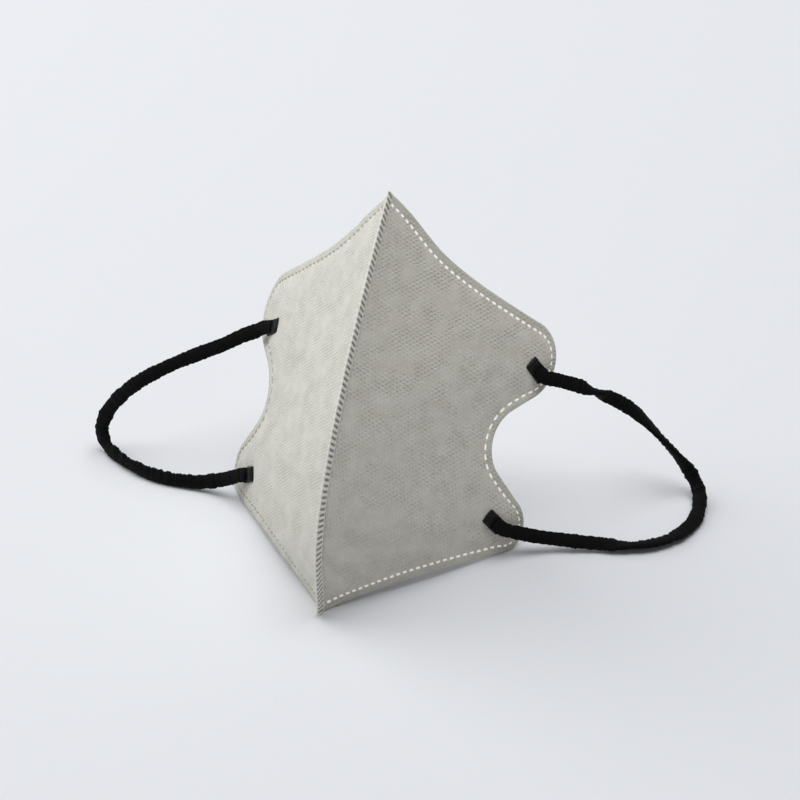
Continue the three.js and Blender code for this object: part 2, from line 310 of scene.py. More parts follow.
def along(points, distances):
    """Points of a line at these distances from its start."""
    run = np.concatenate([[0], np.cumsum(np.linalg.norm(np.diff(points, axis=0), axis=1))])
    return np.stack([np.interp(distances, run, points[:, k]) for k in range(points.shape[1])], axis=1)


def length_of(points):
    return float(np.linalg.norm(np.diff(points, axis=0), axis=1).sum())


def edge_stations():
    """Points of the free edge with a dash of weld at each pitch, the inward direction there, how far
    in the weld runs, and whether the weld's dash crosses there."""
    edge = free_edge()
    dashes = int(length_of(edge) / DASH_PITCH)
    pitch = length_of(edge) / dashes
    scale = pitch / DASH_PITCH
    distances = np.array([pitch * i + s * scale for i in range(dashes) for s in DASH_STATIONS])
    welded = np.array(DASH_STATIONS_WELDED * dashes + (0,))
    distances = np.append(distances, length_of(edge))
    points = along(edge, distances)
    run = unit(along(edge, distances + 0.2) - along(edge, distances - 0.2))
    inward = np.stack([-run[:, 1], run[:, 0]], axis=1)
    by_lobe = smooth((points[:, 0] - LOBE_MARGIN_START) / LOBE_MARGIN_RUN)
    margin = WELD_MARGIN + (LOBE_MARGIN - WELD_MARGIN) * by_lobe
    return points, inward, margin, welded


# Distances from the free edge that hold a line of points, for a weld margin of WELD_MARGIN.
FINE_RINGS = (0.45, 1.2, 1.85, WELD_MARGIN - DASH_WIDTH / 2 - 0.12, WELD_MARGIN - DASH_WIDTH / 2)
FINE_RINGS += (WELD_MARGIN + DASH_WIDTH / 2, WELD_MARGIN + DASH_WIDTH / 2 + 0.12, 3.7, 4.8, 6.2)
COARSE_RINGS = (1.4, WELD_MARGIN - DASH_WIDTH / 2, WELD_MARGIN + DASH_WIDTH / 2, 4.0, 6.2)
COARSE_STEP = 4
CUT_SPACING = 2.1
CUT_ROW_SHARE = 0.87
FIN_SIDE_SPACING = 0.9


def cut_mesh(inset, rings):
    """The flat cut as triangles: points in (out, up), triangles, distance from the free edge with the
    weld always at WELD_MARGIN, share of a weld dash, and the outline as a ring of point numbers."""
    points, inward, margin, welded = edge_stations()
    if rings is COARSE_RINGS:
        points, inward, margin = (a[::COARSE_STEP] for a in (points, inward, margin))
        welded = np.ones(len(points))
    scale = (margin / WELD_MARGIN)[:, None]
    border = points + inward * inset
    border = border[(border[:, 0] > 0) | (inset == 0)]
    if inset:
        low, high = (0, border[0][1]), (0, border[-1][1])
        border = np.concatenate([[low], border, [high]])
    fin_steps = int((border[-1][1] - border[0][1]) / FIN_SIDE_SPACING)
    fin_side = np.linspace(border[-1], border[0], fin_steps)[1:-1]
    outline = np.concatenate([border, fin_side])
    inner = [points + inward * scale * ring for ring in rings]
    inner = np.concatenate([ring[ring[:, 0] > 0.35] for ring in inner])

    tree = KDTree(len(points))
    for i, p in enumerate(points):
        tree.insert((p[0], p[1], 0), i)
    tree.balance()

    grid = []
    rows = int(SEAM_HEIGHT / (CUT_SPACING * CUT_ROW_SHARE))
    for row in range(1, rows):
        for column in range(int(PANEL_DEPTH / CUT_SPACING) + 1):
            out = 0.8 + CUT_SPACING * (column + 0.5 * (row % 2))
            up = row * CUT_SPACING * CUT_ROW_SHARE
            _, nearest, distance = tree.find((out, up, 0))
            beyond = distance > rings[-1] * scale[nearest][0] + CUT_SPACING * 0.5
            inside = np.dot((out, up) - points[nearest], inward[nearest]) > 0
            if beyond and inside:
                grid.append((out, up))

    flat = [Vector(p) for p in np.concatenate([outline, inner, np.array(grid)])]
    ring = [(i, (i + 1) % len(outline)) for i in range(len(outline))]
    flat, _, triangles, sources, _, _ = delaunay_2d_cdt(flat, ring, [], 1, 1e-5)
    flat = np.array([tuple(p) for p in flat])
    outline_of = {s: i for i, found in enumerate(sources) for s in found}
    ring = [outline_of[i] for i in range(len(outline))]

    edge = np.zeros(len(flat))
    dash = np.zeros(len(flat))
    for i, p in enumerate(flat):
        _, nearest, distance = tree.find((p[0], p[1], 0))
        edge[i] = distance / scale[nearest][0]
        on_weld = abs(edge[i] - WELD_MARGIN) < DASH_WIDTH / 2 + 0.04
        dash[i] = welded[nearest] * on_weld
    return flat, triangles, edge, dash, ring


# ---- how the stack of layers lies ----------------------------------------------------------------

FIN_SQUEEZE = 0.5
EDGE_SQUEEZE = 0.5
FURROW_SQUEEZE = 0.38
DASH_SQUEEZE = 0.4
FIN_SQUEEZE_RUN = 9
EDGE_SQUEEZE_START = 0.2
EDGE_SQUEEZE_RUN = 5
FURROW_WIDTH = 0.55

# The panel's soft unevenness: lengths and heights of its two waves, the most that it stands out, and
# how far from the fin and above the floor it reaches its full height.
BROAD_WAVE = {"length": 34, "height": 0.7}
FINE_WAVE = {"length": 11, "height": 0.18}
WAVE_LIMIT = 0.6
WAVE_FIN_RUN = 14
WAVE_FLOOR_START = 1
WAVE_FLOOR_RUN = 9


def face_depth(depth, flat, edge, dash):
    """How deep a layer's face lies where the fin, the edge weld and its dashes squeeze the stack."""
    by_fin = FIN_SQUEEZE + (1 - FIN_SQUEEZE) * smooth(flat[:, 0] / FIN_SQUEEZE_RUN)
    beyond = (edge - WELD_MARGIN - EDGE_SQUEEZE_START) / EDGE_SQUEEZE_RUN
    share = EDGE_SQUEEZE + (1 - EDGE_SQUEEZE) * smooth(beyond)
    furrow = np.exp(-(((edge - WELD_MARGIN) / FURROW_WIDTH) ** 2))
    share = share - (EDGE_SQUEEZE - FURROW_SQUEEZE) * furrow
    share = share * (1 - (1 - DASH_SQUEEZE) * dash)
    middle = STACK / 2
    return by_fin * (middle + (depth - middle) * share)


def fabric_wave(flat, side):
    """Soft unevenness of the panel, in millimetres along its normal."""
    wave = np.zeros(len(flat))
    long, short = BROAD_WAVE["length"], FINE_WAVE["length"]
    for i, (out, up) in enumerate(flat):
        broad = noise.noise(Vector((out / long, up / long, 3.1 * side)))
        fine = noise.noise(Vector((out / short, up / short, 7.7 * side)))
        wave[i] = BROAD_WAVE["height"] * broad + FINE_WAVE["height"] * fine
    return np.minimum(wave * smooth(flat[:, 0] / WAVE_FIN_RUN), WAVE_LIMIT)


def new_object(name, mesh):
    piece = bpy.data.objects.new(name, mesh)
    bpy.context.scene.collection.objects.link(piece)
    return piece


def mesh_from(name, points_mm, faces, side=1):
    """A smooth mesh from points in millimetres, none under the floor, mirrored for the left half."""
    points = np.array(points_mm) * MM
    points[:, 2] = np.maximum(points[:, 2], 0)
    if side < 0:
        points = points * (-1, 1, 1)
        faces = [tuple(reversed(f)) for f in faces]
    mesh = bpy.data.meshes.new(name)
    mesh.from_pydata([tuple(p) for p in points], [], faces)
    mesh.shade_smooth()
    return mesh


def note(mesh, name, values):
    """Writes one number or one vector for each point of a mesh, for its material to read."""
    values = np.asarray(values, np.float32)
    kind, key = ("FLOAT", "value") if values.ndim == 1 else ("FLOAT_VECTOR", "vector")
    mesh.attributes.new(name, kind, "POINT").data.foreach_set(key, values.ravel())


def fabric_layer(layer, side, cut):
    """One sheet of the stack: its outer face, its inner face and its cut edge."""
    top, bottom, _ = LAYERS[layer]
    flat, triangles, edge, dash, ring = cut
    surface, _, normal = panel_surface(flat[:, 0], flat[:, 1])
    off_floor = smooth((surface[:, 2] - WAVE_FLOOR_START) / WAVE_FLOOR_RUN)
    wave = fabric_wave(flat, side) * off_floor
    outer = surface + normal * (wave - face_depth(top, flat, edge, dash))[:, None]
    inner = surface + normal * (wave - face_depth(bottom, flat, edge, dash))[:, None]
    count = len(flat)
    faces = [tuple(t) for t in triangles]
    faces += [tuple(count + i for i in reversed(t)) for t in triangles]
    for i, a in enumerate(ring):
        b = ring[(i + 1) % len(ring)]
        faces.append((b, a, count + a, count + b))
    mesh = mesh_from(f"{layer}_sheet_{side_name(side)}", np.concatenate([outer, inner]), faces, side)
    run = np.interp(np.interp(flat[:, 1], SEAM_TABLE_UP, SEAM_TABLE), SEAM_TABLE, SEAM_TABLE_RUN)
    cloth = np.stack([flat[:, 0], run, np.full(count, 40.0 * side)], axis=1)
    note(mesh, "cloth", np.tile(cloth, (2, 1)))
    note(mesh, "edge", np.tile(edge, 2))
    note(mesh, "dash", np.tile(dash, 2))
    return new_object(mesh.name, mesh)


def side_name(side):
    return "right" if side > 0 else "left"


# ---- the centre fin ------------------------------------------------------------------------------

BAR_PITCH = 1.95
BAR_SLANT = 0.19
FIN_STEP = 0.22
# (distance out from the root, half thickness between the bars, share of a bar's depth)
FIN_SECTION = np.array(
    [
        (-1.4, 0.30, 0),
        (-0.7, 0.62, 0),
        (0.0, 0.80, 0),
        (0.3, 0.78, 0.5),
        (0.6, 0.74, 1),
        (1.3, 0.70, 1),
        (2.1, 0.68, 1),
        (2.9, 0.66, 1),
        (3.6, 0.62, 1),
        (4.0, 0.52, 0.8),
        (4.22, 0.36, 0.4),
        (4.3, 0.14, 0),
    ]
)
BAR_DEPTH = 0.34
BAR_DRAW_IN = 0.12
FIN_WANDER = 0.12


def centre_fin():
    """The two halves' edges welded face to face, pressed through by slanting bars."""
    run = SEAM_TABLE_RUN[-1]
    stations = np.linspace(0, run, int(run / FIN_STEP))
    t = np.interp(stations, SEAM_TABLE_RUN, SEAM_TABLE)
    columns, ridges = [], []
    for out, half, depth in FIN_SECTION:
        phase = (stations - BAR_SLANT * out) / BAR_PITCH
        ridge = smooth((0.5 + 0.5 * np.cos(2 * math.pi * phase) - 0.28) / 0.36)
        plane = ORIGIN + mid_plane(fin_flat(t, out - BAR_DRAW_IN * depth * (1 - ridge)))
        wander = np.array([noise.noise(Vector((s / 9, out / 6, 0.5))) for s in stations]) * FIN_WANDER
        thick = half - BAR_DEPTH * depth * (1 - ridge)
        columns.append(plane + SIDEWAYS * (thick + wander * smooth(out / 2))[:, None])
        columns.append(plane + SIDEWAYS * (-thick + wander * smooth(out / 2))[:, None])
        ridges += [1 - depth * (1 - ridge)] * 2
    order = list(range(0, len(columns), 2)) + list(range(len(columns) - 1, 0, -2))
    points = np.stack([columns[k] for k in order], axis=1).reshape(-1, 3)
    wide = len(order)
    faces = []
    for i in range(len(stations) - 1):
        for k in range(wide):
            a, b = i * wide + k, i * wide + (k + 1) % wide
            faces.append((a, b, b + wide, a + wide))
    last = (len(stations) - 1) * wide
    faces.append(tuple(reversed(range(wide))))
    faces.append(tuple(last + k for k in range(wide)))
    mesh = mesh_from("centre_fin", points, faces)
    note(mesh, "ridge", np.stack([ridges[k] for k in order], axis=1).ravel())
    widths = np.repeat(FIN_SECTION[:, 0], 2)[order]
    cloth = np.stack([np.tile(widths, len(stations)), np.repeat(stations, wide)], axis=1)
    note(mesh, "cloth", np.column_stack([cloth, np.sign(points[:, 0]) * 40]))
    return new_object("centre_fin", mesh)


# ---- welded loop ends ----------------------------------------------------------------------------

PAD_CELL = 0.2
PAD_OVERRUN = 1.4
PAD_RAGGED = 0.05
PAD_RIM_HEIGHT = 0.12
PAD_SWELL = 0.5
PAD_SINK = 0.35
HATCH_PITCH = 1.0
HATCH_HEIGHT = 0.16


def pad_place(name):
    """A loop end's middle on the right panel, and its directions there: along, across and up."""
    lobe, from_tip, above, tilt = PADS[name]
    flat = np.array([(PANEL_DEPTH - from_tip, lobe_centre(lobe)[1] + above)])
    point, out_direction, normal = (a[0] for a in panel_surface(flat[:, 0], flat[:, 1]))
    across = np.cross(normal, out_direction)
    long_way = out_direction * math.cos(tilt) + across * math.sin(tilt)
    wide_way = across * math.cos(tilt) - out_direction * math.sin(tilt)
    return point, long_way, wide_way, normal


def loop_end(name):
    """The end of an elastic, flattened onto the lobe and imprinted with a fine cross-hatch."""
    side = 1 if name.endswith("right") else -1
    middle, long_way, wide_way, normal = pad_place(name)
    rows, columns = int(PAD_WIDTH / PAD_CELL), int((PAD_LENGTH + PAD_OVERRUN) / PAD_CELL)
    overrun = PAD_OVERRUN / 2
    top, bottom, hatches = [], [], []
    for i in range(rows + 1):
        for k in range(columns + 1):
            u, v = 2 * k / columns - 1, 2 * i / rows - 1
            ragged = 1 + PAD_RAGGED * noise.noise(Vector((u * 4, v * 4, len(name))))
            long = overrun + (PAD_LENGTH / 2 + overrun) * u * math.sqrt(1 - 0.14 * v * v) * ragged
            wide = PAD_WIDTH / 2 * v * math.sqrt(1 - 0.10 * u * u) * ragged
            rim = smooth((1 - abs(u)) * 5) * smooth((1 - abs(v)) * 4)
            rising = math.cos(math.pi * (long + wide) / HATCH_PITCH)
            hatch = rising * math.cos(math.pi * (long - wide) / HATCH_PITCH)
            height = PAD_GAP + PAD_RIM_HEIGHT + PAD_SWELL * rim + HATCH_HEIGHT * hatch * rim
            base = middle + long_way * long + wide_way * wide
            top.append(base + normal * height)
            hatches.append(max(hatch, 0) * rim)
            bottom.append(base - normal * PAD_SINK)
    count, wide_count = len(top), columns + 1
    faces = []
    for i in range(rows):
        for k in range(columns):
            a = i * wide_count + k
            quad = (a, a + 1, a + wide_count + 1, a + wide_count)
            faces.append(quad)
            faces.append(tuple(count + c for c in reversed(quad)))
    rim_points = list(range(wide_count))
    rim_points += [i * wide_count + columns for i in range(1, rows + 1)]
    rim_points += [rows * wide_count + k for k in range(columns - 1, -1, -1)]
    rim_points += [i * wide_count for i in range(rows - 1, 0, -1)]
    for a, b in zip(rim_points, rim_points[1:] + rim_points[:1]):
        faces.append((b, a, count + a, count + b))
    mesh = mesh_from(f"loop_end_{name}", np.array(top + bottom), faces, side)
    # How high each point stands in the hatch, read by the material for its painted highlight.
    note(mesh, "hatch", hatches + [0] * count)
    return new_object(mesh.name, mesh)


# ---- ear loops -----------------------------------------------------------------------------------

LOOP_STEP = 0.26
RIB_PITCH = 1.15
SECTION_POINTS = 20
PUCKER_LENGTH = 3.1
CRUMPLE_LENGTH = 1.1
SWAY_LENGTH = 11
SWAY = 0.12
CLEAR_OF_FLOOR = 0.12

# How far the ribbon's middle line starts above a welded end's fabric, and along from its middle.
RIBBON_LIFT = 0.7
RIBBON_START = 0.6

# Shares of the ribbon's size: plain, and what its ribs, puckers and crumples add.
WIDTH_SHARES = (0.96, 0.03, 0.10, 0.13)
THICKNESS_SHARES = (0.86, 0.12, 0.12, 0.20)


def smooth_route(points, steps=40):
    """A smooth line through the points of a route."""
    ends = np.vstack([2 * points[0] - points[1], points, 2 * points[-1] - points[-2]])
    line = []
    for p0, p1, p2, p3 in zip(ends, ends[1:], ends[2:], ends[3:]):
        a = math.sqrt(np.linalg.norm(p1 - p0))
        b = a + math.sqrt(np.linalg.norm(p2 - p1))
        c = b + math.sqrt(np.linalg.norm(p3 - p2))
        t = np.linspace(a, b, steps, endpoint=False)[:, None]
        a1 = (a - t) / a * p0 + t / a * p1
        a2 = (b - t) / (b - a) * p1 + (t - a) / (b - a) * p2
        a3 = (c - t) / (c - b) * p2 + (t - b) / (c - b) * p3
        b1 = (b - t) / b * a1 + t / b * a2
        b2 = (c - t) / (c - a) * a2 + (t - a) / (c - a) * a3
        line.append((b - t) / (b - a) * b1 + (t - a) / (b - a) * b2)
    line.append(points[-1:])
    return np.concatenate(line)


def ribbon_centres(route, side):
    """The ribbon's middle line in millimetres: out of one welded end, along the route, into the other."""
    mirror = np.array((side, 1, 1))
    ends = []
    for level in ("upper", "lower"):
        middle, long_way, wide_way, normal = pad_place(f"{level}_{side_name(side)}")
        start = middle + normal * RIBBON_LIFT + long_way * RIBBON_START
        ends.append((start * mirror, wide_way * mirror))
    points = np.concatenate([[ends[0][0]], np.array(route) / MM, [ends[1][0]]])
    line = smooth_route(points)
    return along(line, np.arange(0, length_of(line), LOOP_STEP)), ends[0][1], ends[1][1]


def ribbon_turns(share, way, first, last, turns):
    """The direction across the ribbon's flat side at each share of its length: along the fabric at
    both welds, and turned by its own twists between them."""
    shares = np.array([s for s, _ in turns])
    angles = np.radians([a for _, a in turns])
    nearest = np.clip(np.searchsorted(shares, share) - 1, 0, len(shares) - 2)
    step = (share - shares[nearest]) / (shares[nearest + 1] - shares[nearest])
    angle = angles[nearest] + (angles[nearest + 1] - angles[nearest]) * smooth(step)
    facing = np.array(FLAT_SIDE_FACES)
    level = unit(np.cross(way, facing))
    upright = np.cross(level, way)
    across = level * np.cos(angle)[:, None] + upright * np.sin(angle)[:, None]
    at_first = smooth(1 - share / shares[0])
    at_last = smooth((share - shares[-1]) / (1 - shares[-1]))
    for weld, held in ((first, at_first), (last, at_last)):
        towards = np.sign((across * weld).sum(axis=1))[:, None]
        across = across * (1 - held[:, None]) + towards * weld * held[:, None]
    return unit(across)


def uneven_half(size, shares, rib, puckers, crumple):
    """Half of the ribbon's width or thickness at each step of its length."""
    plain, by_rib, by_pucker, by_crumple = shares
    return size / 2 * (plain + by_rib * rib + by_pucker * puckers + by_crumple * crumple)


def unevenness(distance, length, side, variant):
    """Soft noise at each step along the ribbon, with swells of about this length in millimetres."""
    return np.array([noise.noise(Vector((s / length, side, variant))) for s in distance])


def ear_loop(name, route, turns, side):
    """Flat knitted elastic: crosswise ribs, lengthwise wales and small puckers."""
    centres, first, last = ribbon_centres(route, side)
    count = len(centres)
    distance = np.arange(count) * LOOP_STEP
    way = unit(np.gradient(centres, axis=0))
    across = ribbon_turns(distance / distance[-1], way, first, last, turns)
    across = unit(across - way * (across * way).sum(axis=1)[:, None])
    flat_normal = np.cross(way, across)

    puckers = unevenness(distance, PUCKER_LENGTH, side, 0.3)
    crumple = unevenness(distance, CRUMPLE_LENGTH, side, 8.3)
    sway = unevenness(distance, SWAY_LENGTH, side, 4.2)
    rib = 0.5 + 0.5 * np.cos(2 * math.pi * distance / RIB_PITCH + 4.5 * puckers + 1.5 * crumple)
    half_wide = uneven_half(ELASTIC_WIDTH, WIDTH_SHARES, rib, puckers, crumple)
    half_thick = uneven_half(ELASTIC_THICKNESS, THICKNESS_SHARES, rib, puckers, crumple)
    droop = np.abs(across[:, 2]) * half_wide + np.abs(flat_normal[:, 2]) * half_thick
    lift = np.maximum(droop + CLEAR_OF_FLOOR - centres[:, 2], 0)
    centres = centres + np.outer(lift, (0, 0, 1))
    centres = centres + across * (SWAY * sway)[:, None]

    points = []
    for k in range(SECTION_POINTS):
        angle = 2 * math.pi * k / SECTION_POINTS
        c, s = math.cos(angle), math.sin(angle)
        x = math.copysign(abs(c) ** 0.75, c)
        y = math.copysign(abs(s) ** 0.6, s) * (1 + 0.10 * math.cos(4 * math.pi * x))
        points.append(centres + across * (half_wide * x)[:, None] + flat_normal * (half_thick * y)[:, None])
    points = np.stack(points, axis=1).reshape(-1, 3)
    faces = []
    for i in range(count - 1):
        for k in range(SECTION_POINTS):
            a, b = i * SECTION_POINTS + k, i * SECTION_POINTS + (k + 1) % SECTION_POINTS
            faces.append((a, b, b + SECTION_POINTS, a + SECTION_POINTS))
    last_ring = (count - 1) * SECTION_POINTS
    faces.append(tuple(reversed(range(SECTION_POINTS))))
    faces.append(tuple(last_ring + k for k in range(SECTION_POINTS)))
    mesh = mesh_from(name, points, faces)
    turn = np.tile(np.arange(SECTION_POINTS) / SECTION_POINTS, count)
    around = turn * 2 * (ELASTIC_WIDTH + ELASTIC_THICKNESS)
    lengthwise = np.repeat(distance, SECTION_POINTS)
    note(mesh, "cloth", np.stack([around, lengthwise, 0 * turn], axis=1))
    note(mesh, "rib", np.repeat(rib, SECTION_POINTS))
    return new_object(name, mesh), centres * MM


# ---- materials -----------------------------------------------------------------------------------


def paint(code):
    """Linear colour of an sRGB hex value."""
    channels = [int(code[i : i + 2], 16) / 255 for i in (1, 3, 5)]
    return [c / 12.92 if c <= 0.04045 else ((c + 0.055) / 1.055) ** 2.4 for c in channels] + [1.0]


def add(material, kind, inputs=None, **settings):
    """Adds a node: settings are its own, inputs are values or other nodes' outputs."""
    node = material.node_tree.nodes.new(kind)
    for key, value in settings.items():
        setattr(node, key, value)
    for key, value in (inputs or {}).items():
        if isinstance(value, bpy.types.NodeSocket):
            material.node_tree.links.new(value, node.inputs[key])
        else:
            node.inputs[key].default_value = value
    return node


def finish_of(name, **sockets):
    """A material with its surface shader and those of its values that are the same all over."""
    material = bpy.data.materials.new(name)
    material.use_nodes = True
    shader = material.node_tree.nodes["Principled BSDF"]
    for key, value in sockets.items():
        shader.inputs[key.replace("_", " ")].default_value = value
    return material, shader


def join(material, shader, socket, output):
    material.node_tree.links.new(output, shader.inputs[socket])


def cloth_place(material, pitch, turn=0.0, stretch=1.0):
    """The flat cloth's own coordinates, one unit to each pitch in millimetres."""
    place = add(material, "ShaderNodeAttribute", attribute_name="cloth")
    return add(
        material,
        "ShaderNodeMapping",
        {
            "Vector": place.outputs["Vector"],
            "Rotation": (0, 0, turn),
            "Scale": (1 / pitch, 1 / (pitch * stretch), 1),
        },
    ).outputs["Vector"]


def ramp(material, value, low, high, to_low=0.0, to_high=1.0):
    return add(
        material,
        "ShaderNodeMapRange",
        {"Value": value, "From Min": low, "From Max": high, "To Min": to_low, "To Max": to_high},
    ).outputs["Result"]


def mix(material, share, a, b, blend="MIX"):
    return add(
        material,
        "ShaderNodeMix",
        {0: share, 6: a, 7: b},
        data_type="RGBA",
        blend_type=blend,
    ).outputs[2]


def number(material, operation, a, b=0.0):
    return add(material, "ShaderNodeMath", {0: a, 1: b}, operation=operation).outputs[0]


# The rows of bond points, as steps per millimetre out and up the cloth. They cross in three ways.
BOND_ROWS = ((0.68, 0.19), (0.38, -0.59), (0.30, 0.78))


def bond_points(material, fineness=1.0):
    """Depth of the staggered points where a nonwoven's fibres are melted together, from the sum of
    three sets of even rows, 1.2 to 1.4 mm from row to row."""
    place = cloth_place(material, 1.0)
    wobble = add(
        material,
        "ShaderNodeTexNoise",
        {"Vector": place, "Scale": 0.8, "Detail": 3.0},
    ).outputs["Color"]
    place = add(
        material,
        "ShaderNodeVectorMath",
        {0: wobble, 1: (1.0, 1.0, 0.0), 2: place},
        operation="MULTIPLY_ADD",
    ).outputs[0]
    total = None
    for row in BOND_ROWS:
        step = tuple(2 * math.pi * fineness * k for k in row) + (0,)
        phase = add(material, "ShaderNodeVectorMath", {0: place, 1: step}, operation="DOT_PRODUCT")
        wave = number(material, "COSINE", phase.outputs["Value"])
        total = wave if total is None else number(material, "ADD", total, wave)
    return ramp(material, total, -0.6, 2.2)


def nonwoven(name, light, shade, film, bonded, mottle, fineness=1.0):
    """Polypropylene fibres laid at random and point-bonded: matt, cloudy, finely pitted."""
    material, shader = finish_of(name, Roughness=0.86, IOR=1.49, Sheen_Weight=0.12, Sheen_Roughness=0.5)
    clouds = add(
        material,
        "ShaderNodeTexNoise",
        {"Vector": cloth_place(material, 6.0), "Scale": 1.0, "Detail": 5.0, "Roughness": 0.66},
    ).outputs["Fac"]
    fibres = add(
        material,
        "ShaderNodeTexNoise",
        {"Vector": cloth_place(material, 0.42, 0.5, 2.6), "Scale": 1.0, "Detail": 3.0},
    ).outputs["Fac"]
    patches = add(
        material,
        "ShaderNodeTexNoise",
        {"Vector": cloth_place(material, 7.5), "Scale": 1.0, "Detail": 4.0},
    ).outputs["Fac"]
    bonds = number(
        material, "MULTIPLY", bond_points(material, fineness), ramp(material, patches, 0.4, 0.6, 0.12, 1.0)
    )
    colour = mix(material, ramp(material, clouds, 0.36, 0.66), shade, light)
    thin = number(material, "MULTIPLY", ramp(material, fibres, 0.35, 0.65), mottle)
    colour = mix(material, thin, colour, shade)
    colour = mix(material, number(material, "MULTIPLY", bonds, bonded), colour, film)
    return material, shader, colour, bonds, fibres


def relief(material, shader, height, distance_mm):
    bump = add(
        material,
        "ShaderNodeBump",
        {"Height": height, "Distance": distance_mm * MM, "Strength": 1.0},
    )
    join(material, shader, "Normal", bump.outputs["Normal"])


def outer_spunbond():
    """Pale grey spunbond: its bond points read as fine crossing rows, its edge weld as thin film.

    The two halves differ on purpose. The right half's dashes are paler and give off a faint light of
    their own, in place of light that a thin film would let through from behind. The left half's are
    greyer and give off none. For other lighting, both halves would take the left half's values."""
    material, shader, colour, bonds, fibres = nonwoven(
        "grey_spunbond_point_bonded", paint("#E3E2DB"), paint("#D3D0C8"), paint("#A9A7A0"), 0.17, 0.5
    )
    edge = add(material, "ShaderNodeAttribute", attribute_name="edge").outputs["Fac"]
    dash = add(material, "ShaderNodeAttribute", attribute_name="dash").outputs["Fac"]
    half = add(material, "ShaderNodeSeparateXYZ", {0: cloth_place(material, 1.0)}).outputs["Z"]
    half = ramp(material, half, -1.0, 1.0)
    # The right half's cloth is tinted a little warmer than the left: a painted warm shade for the half that
    # stands in shade.
    variant = mix(material, half, paint("#FEFFFD"), paint("#FFFDF9"))
    colour = mix(material, 1.0, colour, variant, "MULTIPLY")
    band = number(material, "MULTIPLY", ramp(material, edge, 1.9, 2.3, 1.0, 0.0), 0.45)
    colour = mix(material, band, colour, paint("#C6C8B8"))
    film = mix(material, half, paint("#B4B4A9"), paint("#FFFDF6"))
    join(material, shader, "Base Color", mix(material, dash, colour, film))
    glow = mix(material, number(material, "MULTIPLY", dash, half), paint("#000000"), paint("#9C9A92"))
    join(material, shader, "Emission Color", glow)
    shader.inputs["Emission Strength"].default_value = 1.0
    pits = number(material, "SUBTRACT", number(material, "MULTIPLY", fibres, 0.45), bonds)
    calm = number(material, "SUBTRACT", 1.0, dash)
    relief(material, shader, number(material, "MULTIPLY", pits, calm), 0.22)
    return material


def inner_spunbond():
    """Soft white lining with a warm tint, lightly bonded, worn against the skin."""
    material, shader, colour, bonds, fibres = nonwoven(
        "warm_white_soft_spunbond", paint("#F2EDE9"), paint("#EAE3DE"), paint("#DBD3CD"), 0.35, 0.3, 0.8
    )
    dash = add(material, "ShaderNodeAttribute", attribute_name="dash").outputs["Fac"]
    join(material, shader, "Base Color", mix(material, dash, colour, paint("#FBF7F2")))
    relief(material, shader, number(material, "SUBTRACT", fibres, bonds), 0.12)
    return material


def cotton_web():
    """Needled cotton: loose, fluffy and matt, seen only along the cut edge."""
    material, shader, colour, _, fibres = nonwoven(
        "needled_cotton_web", paint("#ECEAE3"), paint("#DEDBD2"), paint("#D2CFC6"), 0.1, 0.5
    )
    join(material, shader, "Base Color", colour)
    relief(material, shader, fibres, 0.15)
    return material


def meltblown_web():
    """Meltblown microfibre: very fine, almost smooth and bright white."""
    material, shader, colour, _, fibres = nonwoven(
        "white_meltblown_web", paint("#F6F6F3"), paint("#ECECE8"), paint("#E6E6E2"), 0.1, 0.2
    )
    join(material, shader, "Base Color", colour)
    relief(material, shader, fibres, 0.03)
    return material


def welded_nonwoven():
    """The fin's nonwoven, melted to a darker, satin film in the bars and still fibrous between.
    The bars' dark is partly the film's own tone and partly painted shade in the pressed grooves;
    the near-white ridges between them are partly painted light.
    """
    material, shader = finish_of("ultrasonic_welded_nonwoven", IOR=1.49, Sheen_Weight=0.1)
    ridge = add(material, "ShaderNodeAttribute", attribute_name="ridge").outputs["Fac"]
    fibres = add(
        material,
        "ShaderNodeTexNoise",
        {"Vector": cloth_place(material, 0.5), "Scale": 1.0, "Detail": 3.0},
    ).outputs["Fac"]
    # Ridges painted near white, partly a painted highlight; bars painted dark, partly painted shade in the
    # grooves.
    fluff_with_painted_light = mix(material, ramp(material, fibres, 0.35, 0.65), paint("#EBE8DF"), paint("#FAF7EF"))
    film = mix(material, ramp(material, fibres, 0.35, 0.65), paint("#8D867B"), paint("#9E978B"))
    join(material, shader, "Base Color", mix(material, ridge, film, fluff_with_painted_light))
    join(material, shader, "Roughness", ramp(material, ridge, 0.0, 1.0, 0.5, 0.85))
    relief(material, shader, fibres, 0.06)
    return material


def knitted_elastic():
    """Black knitted elastic of polyester over rubber: soft, with small stitches that catch the light."""
    material, shader = finish_of(
        "black_knitted_elastic", IOR=1.5, Roughness=0.8, Specular_IOR_Level=0.12, Sheen_Weight=0.02
    )
    stitches = add(
        material,
        "ShaderNodeTexVoronoi",
        {"Vector": cloth_place(material, 0.55, 0.0, 1.3), "Scale": 1.0, "Randomness": 0.25},
    ).outputs["Distance"]
    lumps = add(
        material,
        "ShaderNodeTexNoise",
        {"Vector": cloth_place(material, 3.0), "Scale": 1.0, "Detail": 3.0},
    ).outputs["Fac"]
    yarn = mix(material, ramp(material, lumps, 0.35, 0.65), paint("#060606"), paint("#0D0D0C"))
    # The hollows between stitches are painted darker, a painted shade in the recesses.
    hollows = ramp(material, stitches, 0.25, 0.6)
    join(material, shader, "Base Color", mix(material, hollows, yarn, paint("#050505")))
    relief(material, shader, number(material, "MULTIPLY", hollows, -1.0), 0.18)
    return material


